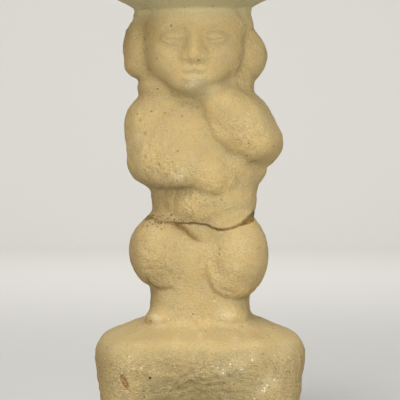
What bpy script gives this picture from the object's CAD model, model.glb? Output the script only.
"""A small carved mushroom stone: a domed cap on a stem with a seated figure
carved against its front, on a square block that two crossed arches cut into
four feet. The figure was broken through at the waist and mended.

Run as a script, it builds the stone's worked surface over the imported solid,
its material, and a plain stage. Lengths in the form are millimetres, with x
from the middle of the block, and become metres in the mesh.
"""
from functools import partial
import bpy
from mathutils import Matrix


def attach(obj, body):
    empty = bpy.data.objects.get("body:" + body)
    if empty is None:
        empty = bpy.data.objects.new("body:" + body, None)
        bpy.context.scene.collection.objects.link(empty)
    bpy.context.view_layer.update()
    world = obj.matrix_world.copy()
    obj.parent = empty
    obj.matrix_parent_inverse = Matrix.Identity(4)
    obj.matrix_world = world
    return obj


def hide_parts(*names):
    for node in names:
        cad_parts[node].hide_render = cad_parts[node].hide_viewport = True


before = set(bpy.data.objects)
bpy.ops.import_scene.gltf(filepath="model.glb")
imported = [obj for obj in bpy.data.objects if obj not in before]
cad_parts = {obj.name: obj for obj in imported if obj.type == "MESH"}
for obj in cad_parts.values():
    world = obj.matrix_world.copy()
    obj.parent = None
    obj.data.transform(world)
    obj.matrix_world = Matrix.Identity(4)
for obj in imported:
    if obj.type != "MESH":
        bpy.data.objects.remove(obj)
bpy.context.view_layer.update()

from types import SimpleNamespace

import bpy
import numpy as np
from bpy.props import (FloatProperty, FloatVectorProperty, IntProperty,
                       PointerProperty)
from mathutils import Vector

bl_info = {
    "name": "Mushroom stone",
    "version": (1, 0, 0),
    "blender": (4, 5, 0),
    "location": "3D View > Sidebar > Mushroom stone",
    "description": "Builds a carved stone with a mended break, and its stage",
    "category": "Add Mesh",
}

STONE_NODE = "mushroom_stone"
MM = 0.001

# Sizes that the solid has too, in millimetres.
BLOCK_WIDTH, BLOCK_DEPTH, BLOCK_OFFSET = 125.0, 114.0, 5.0
SHOULDER_HEIGHT, TOP_RISE, TOP_SLOPE = 77.0, 16.0, 0.4
SHOULDER_ROUNDING, WALL_BATTER, CORNER_POWER = 9.0, 0.085, 4.4
ARCH_WIDTH, ARCH_RISE, ARCH_POWER, ARCH_ROUNDING = 50.0, 44.0, 2.4, 20.0
HOLLOW_SHARE, HOLLOW_TOP, HOLLOW_DEPTH, HOLLOW_ROUNDING = 0.85, 67.0, 13.0, 9.0
HOLLOW_MIDDLE, HOLLOW_OUTSIDE = 16.0, 14.0
CAP_DIAMETER, DOME_HEIGHT = 148.0, 48.0
UNDERSIDE_RISE, UNDERSIDE_START, RIM_ROUNDING, RIM_DROP = 19.0, 34.0, 7.0, 2.0
FIGURE_HEIGHT = 184.0
CAP_FILLET, BLOCK_FILLET, CHIN_FILLET = 6.0, 4.0, 4.0
ARCH_FILLET, SOLE_ROUNDING = 8.0, 3.0
BLOCK_TOP = SHOULDER_HEIGHT + TOP_RISE
STEM_TOP = BLOCK_TOP + FIGURE_HEIGHT
RIM_HEIGHT = STEM_TOP + UNDERSIDE_RISE
CAP_X = -BLOCK_OFFSET
TOP_POWER, TOP_START = 2.6, 31.0

# Forms are functions of a point that give about its distance from a surface,
# below zero inside the stone. A point is a list of arrays x, y, z.


def join(a, b, fillet):
    """Union of two forms: the lesser, less a quarter of the fillet times the
    square of how near the two are as a share of the fillet."""
    near = np.maximum(fillet - np.abs(a - b), 0.0) / fillet
    return np.minimum(a, b) - near * near * fillet / 4


def common(a, b, rounding):
    """What is common to two forms, its edge rounded."""
    return -join(-a, -b, rounding)


def superellipse(x, y, a, b, power):
    """The root of the sum of |x/a| and |y/b|, each to the power."""
    return (np.abs(x / a) ** power + np.abs(y / b) ** power) ** (1 / power)


def ellipsoid(centre, radii):
    """k (k - 1) over the length of the gradient of half of k squared, where k
    is the point's length with each axis divided by its radius."""
    def form(p):
        u, v, w = ((p[i] - centre[i]) / radii[i] for i in range(3))
        level = np.sqrt(u * u + v * v + w * w)
        steep = np.sqrt((u / radii[0]) ** 2 + (v / radii[1]) ** 2 + (w / radii[2]) ** 2)
        return level * (level - 1) / np.maximum(steep, 1e-6)
    return form


def bar(start, end, start_radius, end_radius, depth=1.0):
    """Distance from the nearest point of a straight line, less a radius that
    changes evenly along it; the section is stretched along Y by depth."""
    along = [e - s for s, e in zip(start, end)]
    length_squared = sum(a * a for a in along)

    def form(p):
        q = [p[i] - start[i] for i in range(3)]
        t = np.clip(sum(q[i] * along[i] for i in range(3)) / length_squared, 0, 1)
        x, y, z = (q[i] - t * along[i] for i in range(3))
        radius = start_radius + (end_radius - start_radius) * t
        return np.sqrt(x * x + (y / depth) ** 2 + z * z) - radius
    return form


def post(bottom, top, power, rounding=5.0):
    """An upright post, a superellipse in section. Each end is its z, x, y,
    half width and half depth, and the section changes evenly between them."""
    def form(p):
        t = np.clip((p[2] - bottom[0]) / (top[0] - bottom[0]), 0, 1)
        x, y, a, b = (bottom[i] + (top[i] - bottom[i]) * t for i in range(1, 5))
        level = superellipse(p[0] - x, p[1] - y, a, b, power)
        ends = np.maximum(bottom[0] - p[2], p[2] - top[0])
        return common((level - 1) * np.minimum(a, b), ends, rounding)
    return form


def joined(forms, p, start=None):
    """Forms joined one after another, each with the fillet given with it."""
    for form, fillet in forms:
        start = form(p) if start is None else join(start, form(p), fillet)
    return start


def group(forms):
    """Several forms as one form."""
    return lambda p: joined(forms, p)


# The figure is 184 high, drawn from its foot on the block. Names of sides are
# as the viewer sees the figure's front.
STEM_AND_HAIR = [
    (post((-7, 1.2, 5, 25, 26), (199, -4, 4, 34.4, 22), 2.6), 1),
    (ellipsoid((0.5, 10, 27), (31, 25, 28)), 6),
    (ellipsoid((-29.4, 4, 159.5), (16.8, 17, 21.5)), 3),
    (ellipsoid((25, 4, 155.3), (15.6, 16, 16.4)), 3),
    (ellipsoid((-2.5, 1, 137), (34, 22, 11)), 6),
]
CHEST_AND_ARMS = [
    (bar((-28, 2, 117), (25, 2, 115), 16, 15), 5),
    (ellipsoid((-4, -4, 104), (34, 26.5, 28)), 10),
    (bar((-29.6, 0, 110), (-28.6, -4, 92.5), 14.2, 14), 8),
    (bar((-26.5, -11, 93), (-8, -18.5, 90), 13.8, 13.4, 1.2), 8),
    (bar((-8, -19.5, 89.5), (6, -22.5, 85.5), 13, 10.4, 1.05), 6),
    (ellipsoid((9, -23.5, 81.5), (13.5, 6.8, 8.4)), 6),
    (bar((28, 2, 115.5), (34.6, -3, 103), 14.2, 14), 7),
    (ellipsoid((20, -8, 116.5), (19, 20, 17)), 10),
    (bar((34, -13, 104.2), (15.5, -18, 123.5), 13.8, 12.4, 1.2), 8),
    (bar((15.5, -17.5, 123), (8, -19, 128), 9.5, 7.4, 1.1), 8),
]
BELLY = [
    (ellipsoid((5.5, -4, 70), (28.8, 27, 25)), 1),
    (ellipsoid((6, -3, 88), (33.6, 25, 18)), 6),
]
LEGS = [
    (bar((-19, 14, 33), (-22.5, -8, 40), 17.5, 17), 6),
    (bar((19, 14, 31), (21.5, -8, 38), 17.5, 18), 6),
    (ellipsoid((2, -5, 42), (26, 21, 15)), 6),
    (ellipsoid((-24.4, -18, 39.3), (16.8, 21, 21.3)), 7),
    (ellipsoid((-5, -14, 30), (14, 21, 22)), 12),
    (post((-9, -0.5, -2.5, 30, 31), (36, 0, -2.5, 28.4, 30.5), 3.4), 4),
    (ellipsoid((-23, -25, 0), (8, 8.5, 5)), 6),
    (ellipsoid((18, -25, 0.5), (9, 8.5, 5)), 6),
    (ellipsoid((21.2, -18, 37), (19.2, 21.5, 25.5)), 2.5),
    (ellipsoid((5, -12, 42), (15, 19, 12)), 9),
]
BODY = [
    (group(CHEST_AND_ARMS), 1),
    (group(BELLY), 2),
    (group(STEM_AND_HAIR), 5),
    (group(LEGS), 5),
]

# The face is laid out by the old rule of thirds: hairline to brow, brow to the
# foot of the nose, and from there to the chin.
HEAD_X, HAIR_LINE, CHIN = -3.5, 186.0, 132.0
THIRD = (HAIR_LINE - CHIN) / 3
BROW, NOSE_FOOT = HAIR_LINE - THIRD, CHIN + THIRD
EYE, EYE_X, MOUTH = BROW - 4, 11.8, NOSE_FOOT - THIRD / 3
LEFT_AND_RIGHT = (-1, 1)
HEAD = [
    (ellipsoid((HEAD_X, -4, 167), (31, 28, 32)), 1),
    (ellipsoid((HEAD_X, -9, 151.5), (25.5, 23, 20)), 12),
]
EYE_SOCKETS = [
    (ellipsoid((HEAD_X + s * (EYE_X - 0.5), -38.5, EYE), (10, 9, 6.5)), 8)
    for s in LEFT_AND_RIGHT
]
LIPS = [
    (ellipsoid((HEAD_X, -29.8, MOUTH + 1.5), (8.6, 3.4, 2.4)), 1),
    (ellipsoid((HEAD_X, -29.7, MOUTH - 2.4), (7.4, 3.4, 2.5)), 0.8),
]
FACE = [
    *((ellipsoid((HEAD_X + s * EYE_X, -26.6, EYE), (7, 5.2, 4.4)), 3)
      for s in LEFT_AND_RIGHT),
    (bar((HEAD_X, -28.5, BROW - 1), (HEAD_X, -32.8, NOSE_FOOT + 4), 2.8, 4.2), 5),
    *((ellipsoid((HEAD_X + s * 4.6, -30, NOSE_FOOT + 3), (3.2, 3.6, 2.9)), 3)
      for s in LEFT_AND_RIGHT),
    (group(LIPS), 3.5),
    (ellipsoid((HEAD_X, -24, CHIN + 7.5), (13, 7, 7.5)), 10),
]


def figure(p):
    """The body, and the head with its face, joined with a small fillet."""
    q = (p[0], p[1], p[2] - BLOCK_TOP)
    head = joined(HEAD, q)
    for socket, rounding in EYE_SOCKETS:
        head = common(head, -socket(q), rounding)
    return join(joined(BODY, q), joined(FACE, q, head), CHIN_FILLET)


def cap(p):
    """A dome over a shallow cone that rises outwards from the stem."""
    x, y, z = p[0] - CAP_X, p[1], p[2]
    radius = CAP_DIAMETER / 2
    dome = ellipsoid((0, 0, RIM_HEIGHT - RIM_DROP),
                     (radius, radius, DOME_HEIGHT + RIM_DROP))((x, y, z))
    slope = UNDERSIDE_RISE / (radius - UNDERSIDE_START)
    cone = STEM_TOP + slope * (np.hypot(x, y) - UNDERSIDE_START)
    return common(dome, (cone - z) / np.sqrt(1 + slope * slope), RIM_ROUNDING)


def arch_height(across):
    """Height of an arch: its rise, less the rise times the share of its half
    width to the arch's power."""
    return ARCH_RISE * (1 - (across / (ARCH_WIDTH / 2)) ** ARCH_POWER)


def arch(across, z):
    """About the distance above an arch that runs through the block."""
    half = ARCH_WIDTH / 2
    slope = ARCH_RISE * ARCH_POWER * across ** (ARCH_POWER - 1) / half ** ARCH_POWER
    return (z - arch_height(across)) / np.sqrt(1 + slope * slope)


def block(p):
    """Battered superellipse walls under a sloping top, less two crossed arches
    and a shallow dish in each face."""
    x, y, z = p
    lean = WALL_BATTER * np.maximum(SHOULDER_HEIGHT - z, 0)
    a, b = BLOCK_WIDTH / 2 - lean, BLOCK_DEPTH / 2 - lean
    wall = (superellipse(x, y, a, b, CORNER_POWER) - 1) * np.minimum(a, b)
    out = superellipse(x, y, 1, BLOCK_DEPTH / BLOCK_WIDTH, TOP_POWER)
    top = (z - BLOCK_TOP + TOP_SLOPE * (out - TOP_START)) / np.hypot(1, TOP_SLOPE)
    form = common(wall, top, SHOULDER_ROUNDING)
    arches = join(arch(np.abs(x), z), arch(np.abs(y), z), ARCH_FILLET)
    form = common(form, -arches, ARCH_ROUNDING)
    for face, half, across, width in ((np.abs(y), BLOCK_DEPTH / 2, x, BLOCK_WIDTH),
                                      (np.abs(x), BLOCK_WIDTH / 2, y, BLOCK_DEPTH)):
        dish = ellipsoid((0, half + HOLLOW_OUTSIDE, HOLLOW_MIDDLE),
                         (width / 2 * HOLLOW_SHARE, HOLLOW_OUTSIDE + HOLLOW_DEPTH,
                          HOLLOW_TOP - HOLLOW_MIDDLE))((across, face, z))
        form = common(form, -dish, HOLLOW_ROUNDING)
    return common(form, -z, SOLE_ROUNDING)


def stone(p):
    """The whole stone before its surface is worked."""
    return join(join(figure(p), cap(p), CAP_FILLET), block(p), BLOCK_FILLET)


def slopes(form, p, step=0.05):
    """Gradient of a form by central differences."""
    sides = []
    for i in range(3):
        low, high = p.copy(), p.copy()
        low[i] -= step
        high[i] += step
        sides.append((form(high) - form(low)) / (2 * step))
    return np.stack(sides)


# The grid. Its first parameter runs round the stone, and its second from the
# top of the cap down to the middle of the block's underside. The fan spreads
# from a point in the cap, down to an angle in degrees off the vertical.
FAN_HEIGHT, FAN_END = 305.0, 125.0
HEAD_END, BODY_END, WALL_START = 252.0, 98.0, 66.0
HEAD_TILT, HEAD_REACH_END, TOP_TILT, TOP_LIFT = -0.7, 0.3, 2.0, 30.0
ROWS = {"fan": 58, "head": 42, "body": 152, "top": 24, "wall": 26, "vault": 28}
BREAK_HEIGHT, BREAK_CROWDING, BREAK_REACH = 149.0, 1.6, 7.0
FRONT_CROWDING = 0.36
SPINE_START, SPINE_LENGTH, SPINE_SHARE = 90.0, 200.0, 0.9
# How far out a ray's walk starts: past the cap and the block, or the figure.
WIDE_REACH, NEAR_REACH = 95.0, 80.0
# The share of the form's value that a walk takes, and where it ends, in mm.
STRIDE, CLOSE_ENOUGH, WALK_STEPS = 0.75, 0.01, 46
SETTLING_STEPS, LEAST_SLOPE = 6, 0.2


def directions(columns):
    """Angles round the stone, from the back: a full turn shared evenly, plus
    a sine that brings the columns in front together."""
    turn = 2 * np.pi * np.arange(columns) / columns
    angle = turn + FRONT_CROWDING * np.sin(turn) + np.pi / 2
    return np.cos(angle), np.sin(angle)


def spine(z):
    """x of the line that the rays start from: from the block's middle below to
    near the cap's above, by 3t^2 - 2t^3."""
    t = np.clip((z - SPINE_START) / SPINE_LENGTH, 0, 1)
    return SPINE_SHARE * CAP_X * t * t * (3 - 2 * t)


def body_heights():
    """Heights of the body's rows, closer together at the break: equal shares
    of the sum of one and a bell curve about the break."""
    fine = np.linspace(HEAD_END, BODY_END, 2000)
    density = 1 + BREAK_CROWDING * np.exp(-((fine - BREAK_HEIGHT) / BREAK_REACH) ** 2)
    total = np.cumsum(density)
    shares = np.arange(ROWS["body"]) / ROWS["body"] * total[-1]
    return np.interp(shares, total, fine)


def rays(columns):
    """Start, direction and reach of the ray of each grid point, from the top
    of the cap to the block's wall. A row's rays lie on one cone."""
    cosine, sine = directions(columns)
    rows = []

    def add_row(x, z, rise, reach):
        level = np.sqrt(max(1 - rise * rise, 0))
        flat = np.ones(columns)
        rows.append(np.stack([x * flat, 0 * flat, z * flat, level * cosine,
                              level * sine, rise * flat, reach * flat]))

    for s in np.arange(ROWS["fan"]) / ROWS["fan"]:
        add_row(CAP_X, FAN_HEIGHT, np.sin(np.radians(90 - FAN_END * s)), WIDE_REACH)
    for s in np.arange(ROWS["head"]) / ROWS["head"]:
        z = FAN_HEIGHT + (HEAD_END - FAN_HEIGHT) * s
        tilt = HEAD_TILT * (1 - s)
        x = spine(z) + (CAP_X - spine(z)) * (1 - s)
        reach = WIDE_REACH if s < HEAD_REACH_END else NEAR_REACH
        add_row(x, z, tilt / np.hypot(1, tilt), reach)
    for z in body_heights():
        add_row(spine(z), z, 0, NEAR_REACH)
    for s in np.arange(ROWS["top"]) / ROWS["top"]:
        tilt = TOP_TILT * s * (1 - s)
        z = BODY_END + (WALL_START - BODY_END) * s - TOP_LIFT * tilt
        add_row(0, z, tilt / np.hypot(1, tilt), WIDE_REACH)
    return np.stack(rows, 1)


def cast(lines):
    """Walks in along each ray, a share of the form's value at a time, until it
    meets the stone."""
    rows, columns = lines.shape[1:]
    lines = lines.reshape(7, -1)
    start, way, t = lines[:3], lines[3:6], lines[6].copy()
    walking = np.arange(t.size)
    for _ in range(WALK_STEPS):
        value = stone(start[:, walking] + way[:, walking] * t[walking])
        t[walking] -= STRIDE * value
        walking = walking[np.abs(value) > CLOSE_ENOUGH]
        if walking.size == 0:
            break
    return (start + way * t).reshape(3, rows, columns)


def under(columns):
    """Grid points of the lower wall and of the vault between the feet: the
    wall's plan at each height down to the vault's edge, then inwards under
    the vault, each moved along the form's gradient until it is on the stone."""
    cosine, sine = directions(columns)
    lean = WALL_BATTER * (SHOULDER_HEIGHT - WALL_START)
    wall = 1 / superellipse(cosine, sine, BLOCK_WIDTH / 2 - lean,
                            BLOCK_DEPTH / 2 - lean, CORNER_POWER)

    def vault(x, y):
        return np.maximum(np.maximum(arch_height(np.abs(x)), arch_height(np.abs(y))), 0)

    edge = vault(wall * cosine, wall * sine)
    points = []
    for s in np.arange(ROWS["wall"]) / ROWS["wall"]:
        z = WALL_START + (edge - WALL_START) * s
        r = wall - WALL_BATTER * (WALL_START - z)
        points.append(np.array([r * cosine, r * sine, z]))
    last = wall - WALL_BATTER * (WALL_START - edge)
    for s in np.arange(ROWS["vault"] + 1) / ROWS["vault"]:
        x, y = last * (1 - s) * cosine, last * (1 - s) * sine
        points.append(np.array([x, y, vault(x, y)]))
    p = np.stack(points, 1)
    for _ in range(SETTLING_STEPS):
        value, slope = stone(p), slopes(stone, p)
        p = p - slope * (value / np.maximum((slope * slope).sum(0), LEAST_SLOPE))
    return p


# The worked surface: what the tools, the break and the years left.

def smooth(value, low, high):
    """0 up to low, 1 from high, and 3t^2 - 2t^3 between them."""
    t = np.clip((value - low) / (high - low), 0, 1)
    return t * t * (3 - 2 * t)


def fade(value, low, high):
    """1 up to low and 0 from high, as smoothly."""
    return 1 - smooth(value, low, high)


def bell(distance, width):
    """1 at distance 0, falling as a bell curve of that half width."""
    return np.exp(-(distance / width) ** 2)


# Turns the cells of the noise off the three axes, so that they show no weave.
OFF_AXES = np.array([[2, -1, 2], [2, 2, -1], [-1, 2, 2]]) / 3


def rough(p, size, seed):
    """Smooth noise from -1 to 1: random values at the corners of turned cells
    of that size, blended along each edge by 3t^2 - 2t^3."""
    side = 32
    table = np.random.default_rng(seed).uniform(-1, 1, (side, side, side))
    q = np.tensordot(OFF_AXES, p, 1) / size
    cell = np.floor(q).astype(int)
    t = q - cell
    t = t * t * (3 - 2 * t)
    total = 0
    for corner in np.ndindex(2, 2, 2):
        weight = 1
        for i in range(3):
            weight = weight * (t[i] if corner[i] else 1 - t[i])
        i, j, k = ((cell[n] + corner[n]) % side for n in range(3))
        total = total + weight * table[i, j, k]
    return total


def layered(p, layers):
    """Sum of noises, each with its height, its size and its seed."""
    return sum(height * rough(p, size, seed) for height, size, seed in layers)


def pits(p, spacing, radius, share, seed):
    """Scattered round holes, 0 outside them to 1 at their middles. A share of
    the cells have one, at a random place: one less the squared distance from
    it over its squared radius."""
    side = 32
    random = np.random.default_rng(seed)
    table = random.uniform(0, 1, (side, side, side, 5))
    cell = np.floor(p / spacing).astype(int)
    depth = np.zeros(p.shape[1:])
    for step in np.ndindex(3, 3, 3):
        near = [cell[n] + step[n] - 1 for n in range(3)]
        value = table[near[0] % side, near[1] % side, near[2] % side]
        squared = sum((p[n] - (near[n] + value[..., n]) * spacing) ** 2 for n in range(3))
        wide = radius * (0.5 + value[..., 3])
        hole = np.clip(1 - squared / wide ** 2, 0, 1) * (value[..., 4] < share)
        depth = np.maximum(depth, hole)
    return depth


# The forms below are drawn as seen from the front: x from the middle of the
# block, z from the floor.


def by_line(x, z, line):
    """Of each point: its distance from a line through several points, how far
    it is to the left of the way the line runs, and the share of the line's
    length that it has passed."""
    nearest = np.full(x.shape, np.inf)
    side, share = np.zeros(x.shape), np.zeros(x.shape)
    lengths = [np.hypot(b[0] - a[0], b[1] - a[1]) for a, b in zip(line, line[1:])]
    done = 0
    for (ax, az), (bx, bz), length in zip(line, line[1:], lengths):
        ux, uz = (bx - ax) / length, (bz - az) / length
        along = np.clip((x - ax) * ux + (z - az) * uz, 0, length)
        distance = np.hypot(x - ax - along * ux, z - az - along * uz)
        closer = distance < nearest
        nearest = np.where(closer, distance, nearest)
        side = np.where(closer, (z - az) * ux - (x - ax) * uz, side)
        share = np.where(closer, (done + along) / sum(lengths), share)
        done += length
    return nearest, side, share


def groove(x, z, line, width):
    """1 on a line of points, falling off as a bell curve."""
    return bell(by_line(x, z, line)[0], width)


def ledge(x, z, line, reach, edge):
    """A step along a line of points: 1 on the side to the left of the way it
    is drawn, -1 on the other by a hyperbolic tangent as wide as edge, dying
    away over the reach and towards the line's two ends."""
    nearest, side, share = by_line(x, z, line)
    ends = smooth(share, 0, 0.2) * fade(share, 0.8, 1)
    return np.tanh(side / edge) * np.exp(-nearest / reach) * ends


def spots(x, z, rows):
    """Sum of round bell curves, each with its x, its z and its reach."""
    return sum(bell(np.hypot(x - a, z - b), reach) for a, b, reach in rows)


def mounds(x, z, rows):
    """Sum of oval bell curves, each with its x and z, its half width and half
    height, and how far it stands out."""
    return sum(out * np.exp(-((x - a) / wide) ** 2 - ((z - b) / tall) ** 2)
               for a, b, wide, tall, out in rows)


# Where one part of the surface passes into the next: y of the front's edge and
# of the sides', z of the cap's, the block's and the face's, and how far from
# its middle the face ends.
FRONT_EDGE, SIDE_EDGE = (-12, -4), (0, 14)
CAP_EDGE, BLOCK_EDGE, FACE_EDGE, FACE_SIDES = (284, 300), (70, 80), (222, 228), (20, 26)

# The break across the front, its height at the back, and the noise that it
# wavers by: height, size and seed.
BREAK_LINE = [(-40, 151.6), (-31.5, 151.2), (-28.3, 151.7), (-25.7, 151.3), (-22.4, 150.2),
              (-18.2, 149.8), (-13.9, 149.4), (-10.8, 149), (-6.8, 148.6), (-1.8, 148.8),
              (3.1, 147.9), (7.1, 146.7), (10.4, 145.9), (13.2, 145.7), (17, 146.3),
              (20.5, 147.5), (23.4, 148.8), (26.8, 151.4), (32.2, 155.9), (40, 158)]
BREAK_BACK = 152.0
BREAK_WAVER = ((0.25, 5, 21), (0.16, 1.8, 22))
# Clay fills the gap below the break at the figure's side, from this x outwards,
# and grows taller by this share of the way.
WEDGE_START, WEDGE_GROWTH, WEDGE_HEIGHT = 22.5, 0.62, 5.0
# The old filling swells out at the two sides of the waist, and is pocked. An
# oval is its x and z, its half width and half height, and its strength.
SIDE_FILLS = [(-29, 153.2, 4.6, 2.3, 2.0), (33.5, 153.2, 5.2, 2.6, 1.2)]
POCKED_FILL = (-24.5, 151.0, 6.5, 3.6, 1.0)

# Each line with a step has its high side on the left of the way it runs.
GROIN_LINE = [(-13.4, 148.4), (-9.9, 146.4), (-6.2, 143.6), (-2.5, 140.4), (-0.6, 138.9)]
KNEE_LINE = [(2.9, 134), (3.6, 126), (4.2, 120), (5.4, 115), (8.1, 110), (14.5, 106.4),
             (23.3, 105), (32, 106.7)]
KNEE_FILL_LINE = [(4.8, 122.5), (8.7, 117.3), (15.1, 113.4), (21.5, 110.2), (26.5, 109.6)]
OTHER_KNEE_LINE = [(-31, 117), (-29.4, 114.8), (-28, 112.9), (-25.7, 111.5), (-23.3, 111),
                   (-18.6, 111.4), (-13.9, 113.4)]
FOREARM_LINE = [(-35, 172), (-30, 171), (-26.6, 170.2), (-21.6, 169.2), (-17.5, 169.3),
                (-13.7, 169.8), (-6.8, 169.9), (-3, 169.2), (0.2, 168.4), (5.1, 167.2),
                (9.1, 166.7), (14, 166.3), (19, 166)]
RAISED_ARM_LINE = [(1.5, 222), (2.2, 216), (3.4, 211), (4.8, 206.5), (6.9, 202), (10.2, 197.8),
                   (14, 194.3), (18, 190.9), (22, 187.2), (25.9, 185.2), (30.9, 184.4),
                   (35.9, 184.4), (41, 184.6)]
FINGER_LINES = [[(4.5, 178.5), (11, 177), (17, 174.8)],
                [(4, 175.5), (10.5, 173.6), (16.5, 171.4)]]
# Line, height, reach and edge of each step, and line, height and width of each
# groove or, where the height is above zero, of each swelling.
LEDGES = [(KNEE_LINE, 1.1, 7, 1.2), (FOREARM_LINE, 2.4, 8, 1.5),
          (RAISED_ARM_LINE, 1.8, 8, 2.2), (OTHER_KNEE_LINE, 0.8, 5, 0.8)]
GROOVES = [(FOREARM_LINE, -0.6, 3.2), (RAISED_ARM_LINE, -0.5, 4.0), (KNEE_FILL_LINE, 1.5, 3.2),
           *((line, -0.4, 0.9) for line in FINGER_LINES)]

TOES = [(-26.1, 94, 8, 3, 1.3), (17.4, 95.5, 8, 3, 1.3)]
LAP_HOLLOW = (8, 141, 10, 4.5, -1.4)
# The hair rolls reach up to the cap, and the left one is cut square below.
HAIR_MARKS = [(-44.5, 240.5, 4.2, 4.2, 1.8), (-38, 233.6, 2.5, 2.5, -1.6),
              (-42, 268, 5, 5, 0.6), (-38, 273, 3.2, 3.2, 2.2), (29.5, 266.5, 5.5, 5.5, 2.3)]
# Tip, wings and nostrils of the nose, from the face's middle and its foot.
NOSE_MARKS = [(0, NOSE_FOOT + 3.5, 4.2, 4.2, 1.6),
              *((5.4 * s, NOSE_FOOT + 2.2, 2.2, 2.2, 0.8) for s in LEFT_AND_RIGHT),
              *((2.9 * s, NOSE_FOOT - 0.6, 1.1, 0.88, -1.0) for s in LEFT_AND_RIGHT)]

# Height, size and seed of each noise: swellings left by the tools, ridges that
# lie along the block, and grain, which also has its share that the cap lacks.
SWELLINGS = ((0.42, 13, 1), (0.26, 6.5, 2))
RIDGES = ((0.6, 1.9, 5), (0.6, 3.4, 15))
RIDGE_STRETCH = np.array([0.22, 0.22, 1])[:, None, None]
GRAIN = ((0.34, 3.1, 3, 0.6), (0.28, 1.6, 4, 1.0))
# Spacing, radius, share of the cells and seed of each kind of scattered pit.
PECK_MARKS, FILLING_HOLES = (3.1, 1.5, 0.75, 16), (3.2, 1.1, 0.75, 10)
LARGE_PITS = (15, 1.3, 0.2, 7)
# Where the skin is pecked rougher than elsewhere.
PECKED = [(-24, 178, 10), (-8, 177, 9), (-31, 190, 8), (-24, 122, 10), (22, 118, 10),
          (28, 195, 9), (25, 240, 8), (-4, 158, 10), (-25, 132, 8), (14, 232, 6)]
# Where handling or polish has worn the skin pale.
WORN = [(-3.5, 230, 4), (-12.8, 176.7, 4.5), (-23, 174, 4), (-36.5, 198.9, 2.5),
        (20.2, 124.3, 1.8), (-24.4, 93.2, 4), (15.1, 97, 5), (-39.1, 71.9, 3),
        (0, 85.2, 2), (-13.7, 83.3, 2), (29.5, 74.3, 3.5), (40.3, 60.4, 4), (34.1, 53.6, 3.5),
        (20, 83.7, 2), (22.7, 69.8, 5), (12.5, 65.8, 5), (48.5, 76.4, 4)]
CHEST_STAIN = (-9, 203, 15, 14, 0.6)
CHIN_FILM = (-1, 228, 9, 6, 0.4)
# Single pits that show in the front: x and z.
FRONT_PITS = [(-10.6, 218.3), (-1.8, 217), (0.6, 218.1), (-35.4, 209.6), (-32.3, 201.9),
              (-32.1, 187.7), (-23.9, 183.6), (17, 237.6), (-20.2, 136.3), (11.3, 134.5),
              (3.5, 123.9), (-12.2, 117.6), (8.7, 106.5), (12.8, 162.7), (-28.1, 151.5),
              (-26.2, 150.4), (-24.7, 147.4), (-22.7, 149.3), (-20.5, 151.5), (-30, 152.4),
              (-24, 152.6), (-17.5, 149.2)]
FRONT_PIT_REACH = 0.55
# The rusty chip and the deep hole in the block's front.
CHIP_X, CHIP_Z, CHIP_LEAN = -43.2, 59.7, 0.45
HOLE_X, HOLE_Z, HOLE_RADIUS = -28.4, 62.3, 1.1
# How far off the skin the form is asked whether the point is in a corner.
CORNER_REACH = 4.5


def break_height(p):
    """Height of the break: a line across the front, and level at the back."""
    front = np.interp(p[0], *zip(*BREAK_LINE))
    level = front + (BREAK_BACK - front) * smooth(p[1], -4, 14)
    return level + layered(p, BREAK_WAVER)


def masks(p):
    """Where things are, mostly 1 inside each and 0 outside it: parts of the
    stone, the mend's fillings, carved lines, pits and pecked skin. The one
    called above is the height over the break."""
    x, y, z = p
    front = fade(y, *FRONT_EDGE)
    on_cap, on_block = smooth(z, *CAP_EDGE), fade(z, *BLOCK_EDGE)
    face = front * smooth(z, *FACE_EDGE) * fade(np.abs(x - HEAD_X), *FACE_SIDES)
    above = z - break_height(p)
    left_end = fade(x, -17, -11) * smooth(x, -37, -33) * front
    tall = np.clip(WEDGE_GROWTH * (x - WEDGE_START), 0.01, WEDGE_HEIGHT)
    tall = tall * (0.15 + 0.85 * fade(y, -2, 16))
    wedge = smooth(above, -tall - 0.4, -tall + 0.4) * fade(above, -0.1, 0.5)
    wedge = wedge * smooth(x, WEDGE_START, WEDGE_START + 1.5) * fade(y, 2, 12)
    near_groin = smooth(z, 137, 142) * front
    patches = 0.7 * smooth(rough(p, 17, 14), -0.4, 0.5)
    single = spots(x, z, [(*at, FRONT_PIT_REACH) for at in FRONT_PITS])
    return SimpleNamespace(
        front=front, face=face, cap=on_cap, block=on_block,
        above=above, left_end=left_end, wedge=wedge,
        filling=left_end * smooth(above, -6, -2.5) * fade(above, 3.5, 8),
        holes=pits(p, *FILLING_HOLES),
        groin=groove(x, z, GROIN_LINE, 1.1) * near_groin,
        groin_clay=groove(x, z, GROIN_LINE, 2.1) * near_groin,
        knee=groove(x, z, KNEE_LINE, 1.1) * fade(z, 109, 118) * front,
        other_knee=groove(x, z, OTHER_KNEE_LINE, 1.0) * fade(x, -22, -13) * front,
        large=pits(p, *LARGE_PITS) * (1 - on_block) * (1 - on_cap),
        single=np.clip(single * front, 0, 1),
        pecked=patches + on_block + spots(x, z, PECKED) * front,
        ridges=layered(p * RIDGE_STRETCH, RIDGES))


def tool_marks(p, m):
    """Swellings, calm on the face; grain and pecks, stronger where the skin is
    pecked; ridges along the block. The cap is a little lower all over, so that
    its marks stay within the solid's size."""
    grain = sum(height * rough(p, size, seed) * (1 - lack * m.cap)
                for height, size, seed, lack in GRAIN)
    grain = grain * (0.5 + 0.5 * np.minimum(m.pecked, 1.4))
    pecks = np.minimum(m.pecked, 1.5) * (1 - m.cap) * pits(p, *PECK_MARKS)
    grain = (grain - 0.34 * pecks) * (1 + 0.5 * m.block) * (1 - 0.75 * m.face)
    swell = layered(p, SWELLINGS) * (1 - 0.9 * m.face)
    return swell + grain + 0.3 * m.block * m.ridges - 0.15 * m.cap


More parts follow.
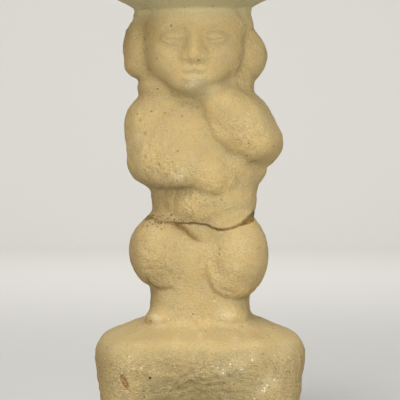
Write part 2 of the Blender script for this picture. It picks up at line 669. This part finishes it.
def features(p):
    """The face's lips, nose and lids. The mouth's parting and the lids' lower
    edges are parabolas, with bell curves across them for lips and creases."""
    x, z = p[0] - HEAD_X, p[2] - BLOCK_TOP
    across = x / 8
    over = z - MOUTH + 0.4 + 0.5 * (1 - across * across) - 0.5 * bell(across, 0.25)
    lips = 0.8 * bell(over - 2, 1.6) + 0.9 * bell(over + 2.2, 1.8) - 1.1 * bell(over, 0.9)
    ridge = bell(x, 3) * smooth(z, NOSE_FOOT + 2, NOSE_FOOT + 8) * fade(z, BROW - 6, BROW)
    height = lips * fade(np.abs(across), 0.7, 1.05) + 0.9 * ridge + mounds(x, z, NOSE_MARKS)
    for s in LEFT_AND_RIGHT:
        across = (x - s * EYE_X) / 6
        over = z - EYE + 1.4 - 1.3 * across * across
        height = height - 0.8 * bell(over, 0.8) * fade(np.abs(across), 0.8, 1.1)
    return height


def creases(p):
    """A bell-shaped crease where the jaw meets the body, and a square cut, by
    t^2, where the cap's fillet meets the figure."""
    drawn = np.stack([p[0], p[1], p[2] - BLOCK_TOP])
    jaw = bell(joined(HEAD, drawn) - joined(BODY, drawn), 2.2) * smooth(p[2], 215, 225)
    seat = np.maximum(1 - np.abs(figure(p) - cap(p)) / CAP_FILLET, 0)
    return -0.7 * jaw - 1.2 * seat * seat


def carving(p, m):
    """Steps and grooves along the arms, fingers and knees, the hollow of the
    lap, the toes, and the marks that finish the hair."""
    x, y, z = p
    height = sum(high * ledge(x, z, line, reach, edge) for line, high, reach, edge in LEDGES)
    height = height + sum(high * groove(x, z, line, width) for line, high, width in GROOVES)
    height = (height + mounds(x, z, [*TOES, LAP_HOLLOW])) * m.front
    height = height - 0.5 * m.groin - 0.45 * m.knee - 0.7 * m.other_knee
    return height + mounds(x, z, HAIR_MARKS) * fade(y, 4, 18)


def mend(p, m, sizes):
    """A groove along the break, narrow where it is filled; the upper part
    standing a little over the lower; a rough filling with holes at the left
    end; the sunk wedge of clay; and the fillings that swell out."""
    x, y, z = p
    cut = bell(m.above, sizes.break_width / MM / 2 * (1 + 0.35 * rough(p, 7, 11)))
    cut = cut * (0.75 + 0.35 * rough(p, 9, 12)) * (1 - 0.65 * m.left_end) * (1 - 0.6 * m.wedge)
    step = 0.45 * np.where(m.above > 0, bell(m.above, 7), -bell(m.above, 9))
    step = step * smooth(x, -8, -2) * fade(x, 26, 32) * fade(np.abs(m.above), 12, 26) * m.front
    fill = m.filling * (0.3 * rough(p, 2.4, 9) - 0.7 * m.holes)
    swell = mounds(x, z, SIDE_FILLS) * fade(y, *SIDE_EDGE)
    return step + fill + swell - 0.4 * m.wedge - sizes.break_depth / MM * cut


def pitting(p, m, sizes):
    """Pits, and on the block's front a leaning oval chip and a round hole."""
    x, z = p[0] - CHIP_X, p[2] - CHIP_Z
    across, along = x + CHIP_LEAN * z, z - CHIP_LEAN * x
    chip = np.clip(1.25 - (across / 2.3) ** 2 - (along / 5.2) ** 2, 0, 1)
    squared = (p[0] - HOLE_X) ** 2 + (p[2] - HOLE_Z) ** 2
    hole = np.clip(1.3 - squared / HOLE_RADIUS ** 2, 0, 1)
    depth = sizes.pit_depth / MM * (m.large + 0.6 * m.single)
    return -depth - (chip + 1.4 * hole) * m.front


def tints(p, moved, normal, m):
    """What the material reads, each from 0 to 1, from where a point was before
    it was moved and where it is now."""
    x, y, z = p
    crack = bell(m.above, 0.5) * (0.9 + 0.5 * rough(moved, 6, 23)) * (0.4 + 0.6 * m.front)
    crack = crack * (1 - 0.6 * m.wedge) * (1 - 0.25 * m.left_end)
    soil = crack + 0.3 * (m.groin + m.knee) + 0.4 * m.other_knee + 0.2 * m.wedge
    soil = soil + 0.7 * m.large + 0.75 * m.single + 0.35 * m.filling * smooth(m.holes, 0.2, 0.6)
    clay = 0.12 * m.filling * (0.8 + 0.6 * rough(moved, 4.5, 8))
    clay = clay + 0.95 * m.wedge + 0.85 * m.groin_clay
    clay = clay + 0.075 * mounds(x, z, SIDE_FILLS[:1]) * fade(y, *SIDE_EDGE)
    strip = bell(m.above - 0.5, 2.4) * fade(x, -13, -8) * smooth(x, -34, -28)
    under_edge = fade(z, 76, 79.5) * smooth(z, 52, 64)
    shade = (fade(z, 44, 72) + 0.5 * under_edge) * fade(np.abs(x), 20, 66)
    stain = fade(normal[0], -0.95, -0.5) * fade(y, -5, 20) * (1 - 0.75 * bell(z - 187, 16))
    film = smooth(z, 263, 281) * fade(z, 300, 325)
    values = {
        "corner": 1 - stone(moved + normal * CORNER_REACH) / CORNER_REACH,
        "soil": soil,
        "clay": clay,
        "worn": spots(x, z, WORN) * m.front * (0.8 + 0.6 * rough(moved, 2.6, 13)),
        "shade": shade * m.front * (0.7 - 0.6 * m.ridges),
        "stain": stain + mounds(x, z, [CHEST_STAIN]) * m.front,
        "rubbed": smooth(z, 76, 82) * fade(z, 86, 100),
        "cool": film + mounds(x, z, [CHIN_FILM]) * m.front,
        "pocked": (mounds(x, z, [POCKED_FILL]) + 0.7 * strip) * m.front,
        "block": m.block,
        "pecked": np.minimum(m.pecked / 1.4, 1) * (1 - 0.8 * m.face),
    }
    return {name: np.clip(value, 0, 1) for name, value in values.items()}


def work_surface(p, normal, sizes):
    """Moves the grid along its normals by the sum of all the heights, which
    fades out at the feet, and gives what the material reads."""
    m = masks(p)
    height = (sizes.tool_marks * tool_marks(p, m) + features(p) * m.face + creases(p)
              + carving(p, m) + mend(p, m, sizes) + pitting(p, m, sizes))
    moved = p + normal * (height * smooth(p[2], 0.5, 5))
    moved[2] = np.maximum(moved[2], 0)
    return moved, tints(p, moved, normal, m)


def rings(rows, columns):
    """Faces over a grid of closed rows. Point 0 is the pole that the first row
    closes on, and the grid's points follow it. Gives each point's index, that
    of the next point round, the quads, and the triangles at the pole."""
    index = 1 + np.arange(rows * columns).reshape(rows, columns)
    right = np.roll(index, -1, 1)
    quads = np.stack([index[:-1], index[1:], right[1:], right[:-1]], -1).reshape(-1, 4)
    top = np.stack([np.zeros(columns, int), index[0], right[0]], -1)
    return index, right, quads, top


def new_object(name, points, faces):
    """An object with a smooth mesh, in the scene."""
    mesh = bpy.data.meshes.new(name)
    mesh.from_pydata(points.tolist(), [], [face for part in faces for face in part.tolist()])
    mesh.shade_smooth()
    mesh.validate()
    thing = bpy.data.objects.new(name, mesh)
    bpy.context.scene.collection.objects.link(thing)
    return thing


def shell(name, p, values):
    """A closed mesh from a grid of rows round the stone. Its first row is one
    point and so is its last, and each value becomes a point attribute."""
    rows, columns = p.shape[1:]
    inner = p[:, 1:-1].reshape(3, -1).T
    points = np.vstack([p[:, 0, 0], inner, p[:, -1, 0]])
    index, right, quads, top = rings(rows - 2, columns)
    bottom = np.stack([np.full(columns, len(points) - 1), right[-1], index[-1]], -1)
    thing = new_object(name, points * MM, (quads, top, bottom))
    for key, value in values.items():
        flat = np.concatenate([value[0, :1], value[1:-1].ravel(), value[-1, :1]])
        attribute = thing.data.attributes.new(key, "FLOAT", "POINT")
        attribute.data.foreach_set("value", flat.astype(np.float32))
    return thing


# Materials


def colour(value):
    """An sRGB hex colour as linear red, green, blue and alpha."""
    parts = [int(value[i:i + 2], 16) / 255 for i in (1, 3, 5)]
    linear = [c / 12.92 if c <= 0.04045 else ((c + 0.055) / 1.055) ** 2.4 for c in parts]
    return (*linear, 1.0)


def add_node(tree, kind, inputs=None, **settings):
    """Adds a shader node with its settings. Each of its inputs is given by name
    or number, as a socket to link or as a value to set."""
    node = tree.nodes.new("ShaderNode" + kind)
    for key, value in settings.items():
        setattr(node, key, value)
    for key, value in (inputs or {}).items():
        if isinstance(value, bpy.types.NodeSocket):
            tree.links.new(value, node.inputs[key])
        else:
            node.inputs[key].default_value = value
    return node


def carved_tuff(colours):
    """Soft volcanic tuff, pecked to shape and rubbed smooth: a chalky buff
    skin with a fine sandy grain, cream where it is worn, olive and brown where
    soil stays in its hollows, and no gloss but for tiny crystal faces."""
    material = bpy.data.materials.new("carved_tuff")
    material.use_nodes = True
    material.node_tree.nodes.clear()
    add = partial(add_node, material.node_tree)
    place = add("TexCoord").outputs["Object"]
    value = {name: add("Attribute", attribute_name=name).outputs["Fac"]
             for name in ("corner", "soil", "clay", "worn", "shade", "stain", "rubbed", "cool",
                          "pocked", "block", "pecked")}
    # Noise by the size of its features in mm, with its detail and roughness.
    # Sand grains are about 0.3 mm, drawn at 1.1 mm so that they show.
    noise = {size: add("TexNoise",
                       {"Vector": place, "Scale": 1 / (size * MM), "Detail": detail,
                        "Roughness": roughness}).outputs["Fac"]
             for size, detail, roughness in ((26, 2, 0.5), (9, 3, 0.5), (2.2, 3, 0.7),
                                             (1.5, 2, 0.5), (1.1, 3, 0.65))}
    # The drag of the tool across the block, about 1 mm tall and 2 mm long.
    flat = add("Mapping", {"Vector": place, "Scale": (0.45, 0.45, 1)})
    drag = add("TexNoise",
               {"Vector": flat.outputs[0], "Scale": 1 / (1.0 * MM), "Detail": 2,
                "Roughness": 0.6}).outputs["Fac"]

    tones = [(*(min(part * share, 1) for part in colours.stone), 1) for share in (0.92, 1.05)]
    patch = add("MapRange", {0: noise[26], 1: 0.36, 2: 0.66}).outputs[0]
    skin = add("Mix", {0: patch, 6: tones[0], 7: tones[1]},
               data_type="RGBA").outputs[2]
    # The block's sloping top is rubbed lighter, and grain and drag each make
    # the skin lighter and darker by a share.
    light = add("Math", {0: value["rubbed"], 1: 0.17, 2: 1.0},
                operation="MULTIPLY_ADD").outputs[0]
    for source, reach, where, most, least in ((noise[1.1], 0.2, "pecked", 0.18, 0.13),
                                              (drag, 0.15, "block", 0.16, 0.0)):
        wave = add("MapRange",
                   {0: source, 1: 0.5 - reach, 2: 0.5 + reach, 3: -1, 4: 1}).outputs[0]
        share = add("Math", {0: value[where], 1: most, 2: least},
                    operation="MULTIPLY_ADD").outputs[0]
        light = add("Math", {0: wave, 1: share, 2: light},
                    operation="MULTIPLY_ADD").outputs[0]
    skin = add("Mix", {0: 1.0, 6: skin, 7: light}, data_type="RGBA",
               blend_type="MULTIPLY").outputs[2]

    # Spots in cells, up to a radius that is a share of the cell: pin holes up to
    # 1.4 mm across in cells of 4 mm; pocks of the filling up to 1.5 mm across in
    # cells of 1.4 mm; and crystal faces of 0.2 mm, drawn at about 0.7 mm so that
    # they show, in cells of 1.4 mm. A noise of 1.5 mm makes the cells ragged.
    drift = add("TexNoise", {"Vector": place, "Scale": 1 / (1.5 * MM)})
    moved = add("VectorMath",
                {0: drift.outputs["Color"], 1: (0.9 * MM,) * 3, 2: place},
                operation="MULTIPLY_ADD").outputs[0]
    dots = {}
    for name, cell, radius, where, most, least in (("hole", 4.0, 0.17, "pecked", 0.3, 0.25),
                                                   ("pock", 1.4, 0.55, "pocked", 0.85, 0.0),
                                                   ("glint", 1.4, 0.5, "worn", 0.5, 0.0)):
        cells = add("TexVoronoi", {"Vector": moved, "Scale": 1 / (cell * MM)})
        choice = add("SeparateColor", {0: cells.outputs["Color"]})
        chance = add("Math", {0: value[where], 1: most, 2: least},
                     operation="MULTIPLY_ADD").outputs[0]
        if name == "glint":
            chance = add("Math", {0: value["block"], 1: 0.012, 2: chance},
                         operation="MULTIPLY_ADD").outputs[0]
        wide = add("Math", {0: choice.outputs[1], 1: radius},
                   operation="MULTIPLY").outputs[0]
        inside = add("Math", {0: cells.outputs["Distance"], 1: wide},
                     operation="LESS_THAN").outputs[0]
        chosen = add("Math", {0: choice.outputs[0], 1: chance},
                     operation="LESS_THAN").outputs[0]
        dots[name] = add("Math", {0: inside, 1: chosen},
                         operation="MULTIPLY").outputs[0]

    # The rusty chip and the deep hole on the block's front: ragged ovals, with
    # their middle, their radii in mm and their turn. The rust lies a little
    # higher than the chip itself.
    for name, x, y, z, radii, turn in (
            ("chip", CHIP_X, -53, CHIP_Z + 0.2, (2.4, 6, 6.2), -CHIP_LEAN),
            ("deep", HOLE_X, -55, HOLE_Z, (1.2, 5, 0.85), 0.5)):
        oval = add("Mapping",
                   {"Vector": place, "Location": ((x + BLOCK_OFFSET) * MM, y * MM, z * MM),
                    "Rotation": (0, turn, 0), "Scale": [part * MM for part in radii]},
                   vector_type="TEXTURE")
        ball = add("TexGradient", {"Vector": oval.outputs[0]},
                   gradient_type="SPHERICAL").outputs["Fac"]
        rag = add("Math", {0: noise[1.5], 1: 0.4, 2: ball},
                  operation="MULTIPLY_ADD").outputs[0]
        dots[name] = add("MapRange", {0: rag, 1: 0.4, 2: 0.48}).outputs[0]

    blends = {name: add("MapRange", {0: source, 1: low, 2: high}).outputs[0]
              for name, source, low, high in (("warm", noise[9], 0.42, 0.7),
                                              ("corner", value["corner"], 0.1, 0.75),
                                              ("clay", noise[2.2], 0.36, 0.6),
                                              ("chip", noise[1.5], 0.3, 0.5))}
    paint = {key: (*getattr(colours, key), 1)
             for key in ("warm", "hollow", "worn", "soil", "clay", "chip", "stain", "cool")}
    earth, rust = (add("Mix", {0: blends[key], 6: paint["soil"], 7: paint[key]},
                       data_type="RGBA").outputs[2] for key in ("clay", "chip"))
    deep = (*(part * 0.3 for part in colours.soil), 1)
    bright = add("Math", {0: dots["glint"], 1: value["block"]},
                 operation="MULTIPLY").outputs[0]
    # Layers of colour over the skin, from the widest to the smallest.
    for mask, most, tint in ((blends["warm"], 0.5, paint["warm"]),
                             (blends["corner"], 0.45, paint["hollow"]),
                             (value["shade"], 0.64, paint["hollow"]),
                             (value["stain"], 0.35, paint["stain"]),
                             (value["cool"], 0.85, paint["cool"]),
                             (value["worn"], 0.16, paint["worn"]),
                             (dots["hole"], 0.7, paint["soil"]),
                             (value["clay"], 1.0, earth),
                             (dots["pock"], 0.8, paint["soil"]),
                             (dots["glint"], 0.3, paint["worn"]),
                             (bright, 0.5, paint["worn"]),
                             (dots["chip"], 1.0, rust),
                             (value["soil"], 1.0, paint["soil"]),
                             (dots["deep"], 1.0, deep)):
        share = add("Math", {0: mask, 1: most}, operation="MULTIPLY").outputs[0]
        skin = add("Mix", {0: share, 6: skin, 7: tint},
                   data_type="RGBA").outputs[2]

    gloss = add("Math", {0: dots["glint"], 1: -0.4, 2: 0.72},
                operation="MULTIPLY_ADD").outputs[0]
    height = add("Math", {0: drag, 1: value["block"]},
                 operation="MULTIPLY").outputs[0]
    dragged = add("Bump", {"Height": height, "Strength": 0.8, "Distance": 1.2 * MM})
    bump = add("Bump",
               {"Height": noise[1.1], "Strength": 0.9, "Distance": 1.3 * MM,
                "Normal": dragged.outputs[0]})
    shader = add("BsdfPrincipled",
                 {"IOR": 1.5, "Metallic": 0.0, "Specular IOR Level": 0.35,
                  "Base Color": skin, "Roughness": gloss, "Normal": bump.outputs[0]})
    add("OutputMaterial", {"Surface": shader.outputs[0]})
    return material


def plain(name, value, roughness):
    """A plain matt paint for the stage."""
    material = bpy.data.materials.new(name)
    material.use_nodes = True
    shader = material.node_tree.nodes["Principled BSDF"]
    shader.inputs["Base Color"].default_value = value
    shader.inputs["Roughness"].default_value = roughness
    return material


def amount_prop(name, description, value, **limits):
    """An amount that a user may change."""
    return FloatProperty(name=name, description=description, default=value, min=0, **limits)


def colour_prop(name, description, value):
    """A colour that a user may change."""
    return FloatVectorProperty(name=name, description=description, subtype="COLOR", size=3,
                               min=0, max=1, default=colour(value)[:3])


class StoneSizes(bpy.types.PropertyGroup):
    """Sizes of the worked surface."""
    columns: IntProperty(name="Columns", description="Grid columns round the stone",
                         default=300, min=48, max=300)
    tool_marks: amount_prop("Tool marks", "Strength of the tool marks", 1.0, max=2)
    pit_depth: amount_prop("Pit depth", "Depth of the largest pits", 0.9 * MM, unit="LENGTH")
    break_width: FloatProperty(name="Break width", description="Width of the groove at the break",
                               default=0.8 * MM, min=0.5 * MM, max=4 * MM, unit="LENGTH")
    break_depth: amount_prop("Break depth", "Depth of the groove at the break", 0.9 * MM,
                             unit="LENGTH")


class StoneColours(bpy.types.PropertyGroup):
    """Colours of the stone."""
    stone: colour_prop("Stone", "The stone's own colour", "#AD9869")
    warm: colour_prop("Warm", "Patches of warmer stone", "#B3965A")
    hollow: colour_prop("Hollow", "Dust in the corners of the carving", "#7B7250")
    worn: colour_prop("Worn", "Pale places where the skin is worn", "#EADFC0")
    soil: colour_prop("Soil", "Dark soil in the break and the pits", "#58401A")
    clay: colour_prop("Clay", "The clay that fills the break", "#876A31")
    chip: colour_prop("Chip", "The rusty chip on the block", "#94744A")
    stain: colour_prop("Stain", "The brown stain down one side", "#8F6F3A")
    cool: colour_prop("Cool", "The grey-green film under the cap", "#B1A87F")


class StageSettings(bpy.types.PropertyGroup):
    """The floor and the lights."""
    floor: colour_prop("Floor", "The floor and the backdrop", "#CFCDC8")
    key: amount_prop("Key light", "Power of the large front light", 12.6, unit="POWER")
    top: amount_prop("Top light", "Power of the light from above", 12, unit="POWER")
    fill: amount_prop("Fill light", "Power of the light on the other side", 7.5, unit="POWER")
    backdrop: amount_prop("Backdrop light", "Power of the backdrop's light", 34, unit="POWER")
    sky: amount_prop("Sky", "Brightness of the even light all round", 0.28)


class STONE_OT_build(bpy.types.Operator):
    """Build the stone's worked surface in place of its solid."""
    bl_idname = "stone.build"
    bl_label = "Build the stone"

    def execute(self, context):
        sizes, colours = context.scene.stone_sizes, context.scene.stone_colours
        p = np.concatenate([cast(rays(sizes.columns)), under(sizes.columns)], 1)
        slope = slopes(stone, p)
        normal = slope / np.maximum(np.sqrt((slope * slope).sum(0)), 1e-6)
        p, values = work_surface(p, normal, sizes)
        p[0] += BLOCK_OFFSET
        piece = shell("carved_stone", p, values)
        piece.data.materials.append(carved_tuff(colours))
        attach(piece, "root")
        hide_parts(STONE_NODE)
        return {"FINISHED"}


def backdrop(material):
    """A round floor that turns up into a low wall: a profile of a straight
    line, a quarter circle and a straight line, turned about the Z axis."""
    floor, bend, top, columns = 2.5, 0.7, 2.2, 96
    angle = np.radians(np.linspace(0, 90, 17))
    radius = np.concatenate([[0.8, 1.6], floor + bend * np.sin(angle), [floor + bend]])
    height = np.concatenate([[0, 0], bend - bend * np.cos(angle), [top]])
    turn = 2 * np.pi * np.arange(columns) / columns
    ring = np.stack([np.outer(radius, np.cos(turn)), np.outer(radius, np.sin(turn)),
                     np.outer(height, np.ones(columns))], -1).reshape(-1, 3)
    _, _, quads, middle = rings(len(radius), columns)
    thing = new_object("backdrop", np.vstack([np.zeros(3), ring]), (middle, quads))
    thing.data.materials.append(material)
    return thing


def lamp(name, place, target, size, power):
    """A square soft light that faces a point."""
    data = bpy.data.lights.new(name, "AREA")
    data.size, data.energy = size, power
    thing = bpy.data.objects.new(name, data)
    thing.visible_camera = False
    thing.location = place
    thing.rotation_euler = (Vector(target) - Vector(place)).to_track_quat("-Z", "Y").to_euler()
    bpy.context.scene.collection.objects.link(thing)


class STONE_OT_stage(bpy.types.Operator):
    """Build the floor, the lights and the camera."""
    bl_idname = "stone.stage"
    bl_label = "Build the stage"

    def execute(self, context):
        scene, settings = context.scene, context.scene.stone_stage
        backdrop(plain("stage_paint", (*settings.floor, 1), 0.9))
        target = (0.0, 0.0, 0.18)
        lamp("key", (-0.3, -1.25, 0.6), target, 0.45, settings.key)
        lamp("top_light", (-0.25, -0.85, 1.35), target, 0.6, settings.top)
        lamp("fill", (0.9, -0.85, 0.35), target, 0.8, settings.fill)
        lamp("backdrop_light", (0, 1.5, 1.9), (0, 2.9, 0.1), 1.2, settings.backdrop)
        world = bpy.data.worlds.new("sky")
        world.use_nodes = True
        world.node_tree.nodes["Background"].inputs["Strength"].default_value = settings.sky
        world.node_tree.nodes["Background"].inputs["Color"].default_value = (1, 1, 1, 1)
        scene.world = world
        scene.view_settings.view_transform = "Standard"

        # The photograph's 400 pixels span 240 mm at the block's middle, 1 m away,
        # with the picture's middle a little lower than the camera.
        distance, span, height, middle = 1.0, 0.24, 0.185, 0.162
        data = bpy.data.cameras.new("camera")
        data.sensor_width = 36.0
        data.lens = data.sensor_width * distance / span
        data.shift_y = (middle - height) / span
        data.clip_start = 0.05
        camera = bpy.data.objects.new("camera", data)
        camera.location = (BLOCK_OFFSET * MM, -distance, height)
        camera.rotation_euler = (np.pi / 2, 0, 0)
        scene.collection.objects.link(camera)
        scene.camera = camera
        return {"FINISHED"}


class STONE_PT_panel(bpy.types.Panel):
    """Lists the stone's sizes, colours and stage."""
    bl_idname = "STONE_PT_panel"
    bl_label = "Mushroom stone"
    bl_space_type = "VIEW_3D"
    bl_region_type = "UI"
    bl_category = "Mushroom stone"

    def draw(self, context):
        for settings, operator in ((context.scene.stone_sizes, "stone.build"),
                                   (context.scene.stone_colours, None),
                                   (context.scene.stone_stage, "stone.stage")):
            for name in settings.__annotations__:
                self.layout.prop(settings, name)
            if operator:
                self.layout.operator(operator)


SETTINGS = {"stone_sizes": StoneSizes, "stone_colours": StoneColours,
            "stone_stage": StageSettings}
CLASSES = (*SETTINGS.values(), STONE_OT_build, STONE_OT_stage, STONE_PT_panel)


def register():
    """Registers the classes and hangs the settings on the scene."""
    for item in CLASSES:
        bpy.utils.register_class(item)
    for name, group_class in SETTINGS.items():
        setattr(bpy.types.Scene, name, PointerProperty(type=group_class))


def unregister():
    """Takes away what register added."""
    for name in SETTINGS:
        delattr(bpy.types.Scene, name)
    for item in reversed(CLASSES):
        bpy.utils.unregister_class(item)


def main():
    """Builds everything."""
    register()
    bpy.ops.stone.build()
    bpy.ops.stone.stage()


if __name__ == "__main__":
    main()
